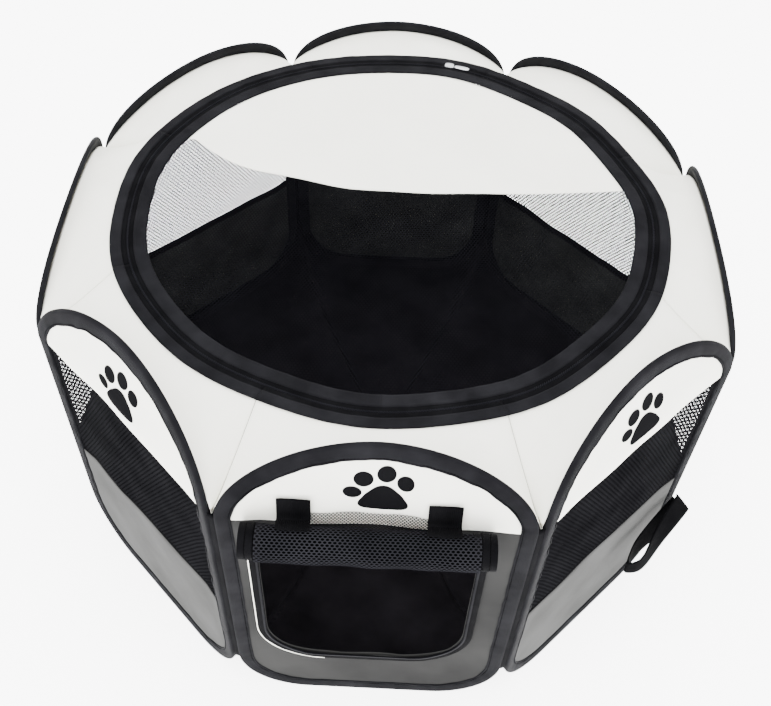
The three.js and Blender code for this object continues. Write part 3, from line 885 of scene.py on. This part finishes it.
# ---- seams at the corners of the pen ----
def corner_seam(side):
    """Cloth and tape that close the corner between a panel and the next one round."""
    following = (side + 1) % len(SIDES)
    reach = HALF - 2 * MM
    start, finish = place(side, reach, PLANE, 0), place(following, -reach, PLANE, 0)
    apex = place(side, PLANE * math.tan(TURN / 2), PLANE, 0) * 0.999
    heights = np.linspace(BOTTOM_RADIUS * 0.9, SPRING + 2 * MM, 50)[:, None]
    t = np.linspace(0, 1, 9)[None, :]
    weights = [(1 - t) ** 2, 2 * t * (1 - t), t ** 2]
    curve = sum(weight[..., None] * point for weight, point in zip(weights, (start, apex, finish)))
    outwards = apex / np.linalg.norm(apex)
    pucker = 0.5 * MM * ripples(heights, t * 0.02, 0.04, 370 + side)
    points = curve + outwards * pucker[..., None]
    points[..., 2] = heights
    uvs = pairs(heights, t * 12 * MM)

    def strip(name, chosen):
        return double_sheet(
            name, chosen + outwards * 0.7 * MM, chosen - outwards * 0.7 * MM,
            uvs[:, : chosen.shape[1]], seam_tape, seam_tape,
        )

    names = (SIDES[side], SIDES[following])
    if names == ("back", "back_left"):
        for name, part in zip(names, (points[:, :5], points[:, 4:])):
            rides(strip(f"open_corner_seam_{name}", part), f"{name}_panel", "black_tape")
        return
    made = strip(f"corner_seam_{names[0]}_{names[1]}", points)
    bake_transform(made)


# ---- the doorway ----
DOOR_MIDDLE = (door_low.x + door_high.x) / 2
DOOR_TAPE = 12 * MM
DOOR_HALF = (door_high.x - door_low.x) / 2 - DOOR_TAPE
DOOR_BOTTOM = door_low.z + DOOR_TAPE
DOOR_TOP = door_high.z
DOOR_CORNER = 75 * MM
DOOR_DEPTH = PLANE + 1.5 * MM


def door_line(margin):
    """The U that the door's zip follows, from its top right down and round to its top left."""
    radius = DOOR_CORNER + margin
    angles = np.linspace(0, math.pi / 2, 24)
    right = np.stack([
        DOOR_HALF - DOOR_CORNER + radius * np.cos(angles),
        DOOR_BOTTOM + DOOR_CORNER - radius * np.sin(angles),
    ], axis=1)
    left = right[::-1] * (-1, 1)
    side = np.linspace(DOOR_TOP, DOOR_BOTTOM + DOOR_CORNER, 40)[:-1, None]
    up = np.hstack([np.full_like(side, DOOR_HALF + margin), side])
    return np.vstack([up, right, left, up[::-1] * (-1, 1)]) + (DOOR_MIDDLE, 0)


def first_crossing(origin, directions, loop):
    """Where rays from a point first meet a closed loop of points."""
    a, b = loop, np.roll(loop, -1, axis=0)
    span = b - a
    found = []
    for direction in directions:
        cross = direction[0] * span[:, 1] - direction[1] * span[:, 0]
        cross = np.where(np.abs(cross) < 1e-12, 1e-12, cross)
        away = a - origin
        distance = (away[:, 0] * span[:, 1] - away[:, 1] * span[:, 0]) / cross
        along_edge = (away[:, 0] * direction[1] - away[:, 1] * direction[0]) / cross
        hits = distance[(distance > 0) & (along_edge >= -1e-9) & (along_edge <= 1 + 1e-9)]
        found.append(origin + direction * hits.min())
    return np.array(found)


def door_surround(rays=220, rings=14):
    """Grey cloth round the doorway, from the door's edge to the hoop."""
    low = CLOTH_INSET
    heights = np.linspace(low, CREAM_LOW, 90)
    widths = half_width(heights, CLOTH_INSET)
    outer_loop = np.vstack([
        np.stack([widths, heights], axis=1), np.stack([-widths, heights], axis=1)[::-1],
    ])
    origin = np.array([DOOR_MIDDLE, (DOOR_BOTTOM + DOOR_TOP) / 2])
    angles = np.linspace(0, 2 * math.pi, rays, endpoint=False)
    directions = np.stack([np.cos(angles), np.sin(angles)], axis=1)
    outer = first_crossing(origin, directions, outer_loop)
    inner = first_crossing(origin, directions, door_line(0))
    share = np.linspace(0, 1, rings)[None, :, None]
    flat = inner[:, None, :] + (outer - inner)[:, None, :] * share
    across, height = flat[..., 0], flat[..., 1]
    depth = PLANE + cloth_depth(0, across, height)
    # Its face is the grey oxford darkened with painted shade.
    made = panel_cloth(
        "door_surround_cloth", 0, across, depth, height, -OXFORD_THICKNESS, lining, front_grey_painted_shade, closed=True,
    )
    rides(made, "front_panel", "grey_oxford", "door_surround")


def door_depth(lift):
    """A depth for flat_tape: this far out from the plane of the doorway."""
    return lambda across, height: DOOR_DEPTH + lift + 0 * across


def door_zip():
    """The doorway's zip tape and coil, and the cream piping along its left side."""
    flat_tape(
        "door_zip_cloth", 0, door_line(DOOR_TAPE / 2), DOOR_TAPE, 1.0 * MM, door_depth(0),
        "front_panel", "black_tape", zip_tape, 400, "door_zip_tape",
    )
    flat_tape(
        "door_zip_coil", 0, door_line(2.5 * MM), 3 * MM, 1.6 * MM, door_depth(0.9 * MM),
        "front_panel", "black_tape", coil_plastic, 401,
    )
    outside = door_line(DOOR_TAPE + 0.6 * MM)
    flat_tape(
        "door_zip_piping", 0, outside[len(outside) // 2:], 1.3 * MM, 1.2 * MM, door_depth(0.2 * MM),
        "front_panel", "cream_cloth", cream, 402,
    )


# ---- the rolled door ----
def along_roll(profile, first, last, steps, name, material, uneven, seed):
    """An (outward, height) section carried along the roll; uneven swells and sags it a little."""
    profile = np.asarray(profile, float)
    x = np.linspace(first, last, steps)[:, None]
    around = distances(profile)[None, :]
    middle = profile.mean(axis=0)
    swell = 1 + uneven * ripples(x, around, 0.06, seed)
    out = middle[0] + (profile[:, 0][None, :] - middle[0]) * swell
    up = middle[1] + (profile[:, 1][None, :] - middle[1]) * swell
    points = place(0, x + 0 * out, out, up)
    uvs = pairs(x, around)
    return swept(name, points[:, ::-1], uvs[:, ::-1], material, closed=False)


def circle(radius):
    """The section of the roll's inner layers, as (outward, height)."""
    angles = np.linspace(0, 2 * math.pi, 40, endpoint=False)
    return np.stack([ROLL_OUT + radius * np.cos(angles), ROLL_Z + radius * np.sin(angles)], axis=1)


def spiral(inner, outer, turns, thickness, count=110):
    """The section of a strip of tape rolled up with the door, seen end on."""
    angles = np.linspace(-2 * math.pi * turns, 0, count) + math.pi
    radius = np.linspace(inner, outer, count)
    outer_edge = np.stack([radius * np.cos(angles), radius * np.sin(angles)], axis=1)
    inner_radius = radius - thickness
    inner_edge = np.stack([inner_radius * np.cos(angles), inner_radius * np.sin(angles)], axis=1)
    return np.vstack([outer_edge, inner_edge[::-1]]) + (ROLL_OUT, ROLL_Z)


def door_roll():
    """The door rolled up: dark layers, net round them, and three strands of its binding at each end."""
    low, high = roll_low.x, roll_high.x
    band = 26 * MM
    core = along_roll(
        circle(ROLL_RADIUS * 0.88), low + band * 0.6, high - band * 0.6, 50,
        "door_roll_layers", roll_inside, 0.04, 420,
    )
    rides(core, "door_roll", "black_net", "door_roll")
    x = np.linspace(low + band * 0.7, high - band * 0.7, 90)[:, None]
    angle = np.linspace(-0.9 * math.pi, 1.05 * math.pi, 60)[None, :]
    radius = ROLL_RADIUS * (0.96 + 0.03 * ripples(x, angle * ROLL_RADIUS, 0.05, 421))
    points = place(0, x + 0 * angle, ROLL_OUT + radius * np.cos(angle), ROLL_Z + radius * np.sin(angle))
    uvs = pairs(x, angle * ROLL_RADIUS)
    net = single_sheet("door_roll_net", points, uvs, roll_net)
    rides(net, "door_roll", "black_net", "door_roll")
    for name, start in (("left", low), ("right", high - band)):
        for strand in range(3):
            swell = (0.6 - abs(strand - 1)) * MM
            coils = along_roll(
                spiral(6 * MM, ROLL_RADIUS + swell, 3.2, 2.1 * MM),
                start + strand * band / 3, start + (strand + 0.93) * band / 3, 8,
                f"door_roll_binding_{name}_{strand}", zip_tape, 0.02, 422 + strand,
            )
            rides(coils, "door_roll", "black_tape", "door_roll")


def door_strip():
    """The top of the door's net, sewn to the cream cloth between the ties and hanging behind the roll."""
    left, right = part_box("door_tie_left")[1].x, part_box("door_tie_right")[0].x
    across = np.linspace(left - 2 * MM, right + 2 * MM, 50)[None, :]
    share = np.linspace(0, 1, 14)[:, None]
    top = ROLL_Z + ROLL_RADIUS + 5 * MM + 2.5 * MM * ripples(across, 0 * across, 0.05, 430)
    height = top - (top - CREAM_LOW + 14 * MM) * share
    depth = PLANE + cloth_depth(0, across, height) + 2.2 * MM + 0.4 * MM * ripples(across, height, 0.05, 431)
    uvs = pairs(across, height)
    made = single_sheet("door_top_strip", place(0, across, depth, height), uvs, strip_net)
    rides(made, "front_panel", "black_net")


def door_tie(name):
    """A tab of webbing sewn above the doorway, that comes down over the roll."""
    low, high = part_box(name)
    middle, half = (low.x + high.x) / 2, (high.x - low.x) / 2
    over = ROLL_RADIUS + 2.4 * MM
    angles = np.linspace(0.80 * math.pi, 0.52 * math.pi, 12)
    sewn_out = PLANE + 2.6 * MM
    path = [(sewn_out, z) for z in np.linspace(high.z, ROLL_Z + 0.95 * ROLL_RADIUS, 12)]
    bend = [(ROLL_OUT + over * math.cos(a), ROLL_Z + over * math.sin(a)) for a in angles]
    path = smoothed(np.array(path + [p for p in bend if p[0] > sewn_out + 2 * MM]), 3)
    s = distances(path)[:, None]
    off = sideways(path)
    t = np.linspace(-half, half, 9)[None, :]
    cupped = 0.8 * MM * (t / half) ** 2 + 0.5 * MM * ripples(s, t, 0.05, 440 + int(middle > 0))
    layers = []
    for thickness in (1.0 * MM, -1.0 * MM):
        out = path[:, 0][:, None] + off[:, 0][:, None] * (thickness + cupped)
        up = path[:, 1][:, None] + off[:, 1][:, None] * (thickness + cupped)
        layers.append(place(0, middle + t + 0 * out, out - lean(up), up))
    uvs = pairs(s, t)
    made = double_sheet(f"{name}_webbing", layers[0], layers[1], uvs, webbing, webbing)
    rides(made, name, "black_webbing", name)


# ---- carry handle ----
def carry_handle():
    """A loop of webbing along the front right panel, sewn beside the corner and sprung up off the cloth."""
    side = 1
    low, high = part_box("carry_handle")
    middle_z = (low.z + high.z) / 2 + 4 * MM
    sewn = PLANE * math.tan(TURN / 2) - 12 * MM
    face = PLANE + RIM / 2
    # Along the loop, in millimetres: across from the seam, out from the panel's face, up.
    route = (sewn, face, 0) + MM * np.array([
        (0, 3, 0), (-50, 6, -4), (-105, 10, -12), (-136, 22, -20), (-118, 36, -18),
        (-70, 24, -8), (-20, 18, 0), (2, 13, 0), (5, 7, 0),
    ])
    knots = np.linspace(0, 1, len(route))
    fine = np.linspace(0, 1, 90)
    path = smoothed(np.stack([np.interp(fine, knots, route[:, i]) for i in range(3)], axis=1), 14)
    off = sideways(path[:, :2])
    s = distances(path)[:, None]
    half = WEBBING_WIDTH / 2
    t = np.linspace(-half, half, 9)[None, :]
    edge = (np.abs(t) / half) ** 6
    rightward = (path[:, 0] - path[:, 0].min()) / np.ptp(path[:, 0])
    spring = (math.radians(65) * rightward ** 0.8)[:, None]
    stand = face + half * np.sin(spring)
    layers = []
    for sign in (1, -1):
        thick = sign * 1.25 * MM * (1 - 0.5 * edge)
        off_panel = path[:, 1][:, None] + off[:, 1][:, None] * thick - face
        layers.append(place(
            side,
            path[:, 0][:, None] + off[:, 0][:, None] * thick,
            stand + off_panel * np.cos(spring) - t * np.sin(spring),
            middle_z + path[:, 2][:, None] + off_panel * np.sin(spring) + t * np.cos(spring),
        ))
    uvs = pairs(s, t)
    made = double_sheet("carry_handle_webbing", layers[0], layers[1], uvs, webbing, webbing)
    rides(made, "carry_handle", "black_webbing", "carry_handle")


# ---- build it ----
for side in range(len(SIDES)):
    hoop_binding(side)
    stitch_line(side)
    arch_cloth(side)
    canopy_gore(side)
    canopy_ring(side)
    floor_part(side)
    corner_seam(side)
    if side:
        mesh_window(side)
        lower_band(side)
        band_top_tape(side)

for side, middle, height in ((0, 0.0, 502 * MM), (1, -8 * MM, 492 * MM), (7, 0.0, 492 * MM)):
    paw_print(side, middle, height)

cover_ring()
zip_coil()
top_slider()
cover_cloth()
door_surround()
door_zip()
door_roll()
door_strip()
door_tie("door_tie_left")
door_tie("door_tie_right")
carry_handle()

for name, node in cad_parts.items():
    node.data.materials.clear()
    node.data.materials.append(spring_steel if name.endswith("wire") else zinc)


# ---- studio ----
def studio():
    """Bright paper under and behind the pen, and three soft lamps."""
    bpy.ops.mesh.primitive_plane_add(size=30, location=(0, 0, -0.0015))
    ground = bpy.context.object
    ground.name = "studio_floor"
    paper = {
        "Base Color": (0.93, 0.93, 0.93, 1),
        "Roughness": 0.9,
        "Emission Color": (1, 1, 1, 1),
        "Emission Strength": 5.0,
    }
    ground.data.materials.append(Look("pale_paper").finished(paper))
    world = bpy.data.worlds.new("studio")
    world.use_nodes = True
    backdrop = world.node_tree.nodes["Background"].inputs
    backdrop["Color"].default_value = (1, 1, 1, 1)
    backdrop["Strength"].default_value = 3.2
    bpy.context.scene.world = world
    for name, location, size, energy in (
        ("key", (-1.8, -2.2, 3.2), 2.4, 150),
        ("fill", (2.6, -1.6, 2.4), 2.6, 60),
        ("top", (0.2, 0.6, 3.6), 3.0, 110),
    ):
        light = bpy.data.lights.new(name, "AREA")
        light.size = size
        light.energy = energy
        lamp = bpy.data.objects.new(name, light)
        lamp.location = location
        lamp.rotation_mode = "QUATERNION"
        lamp.rotation_quaternion = (Vector((0, 0, 0.3)) - lamp.location).to_track_quat("-Z", "Y")
        bpy.context.scene.collection.objects.link(lamp)


def camera():
    """Looking down on the door side from a step away, the camera tilted a little."""
    elevation, roll, distance = math.radians(48.68), math.radians(2.8), 1.5555
    target = Vector((0.001, 0, 0.229))
    back = Vector((0, -math.cos(elevation), math.sin(elevation)))
    data = bpy.data.cameras.new("camera")
    data.sensor_width = 36
    data.lens = 45.5
    eye = bpy.data.objects.new("camera", data)
    eye.location = target + back * distance
    eye.rotation_mode = "QUATERNION"
    level = (-back).to_track_quat("-Z", "Y")
    eye.rotation_quaternion = Matrix.Rotation(roll, 3, back).to_quaternion() @ level
    bpy.context.scene.collection.objects.link(eye)
    bpy.context.scene.camera = eye


studio()
camera()
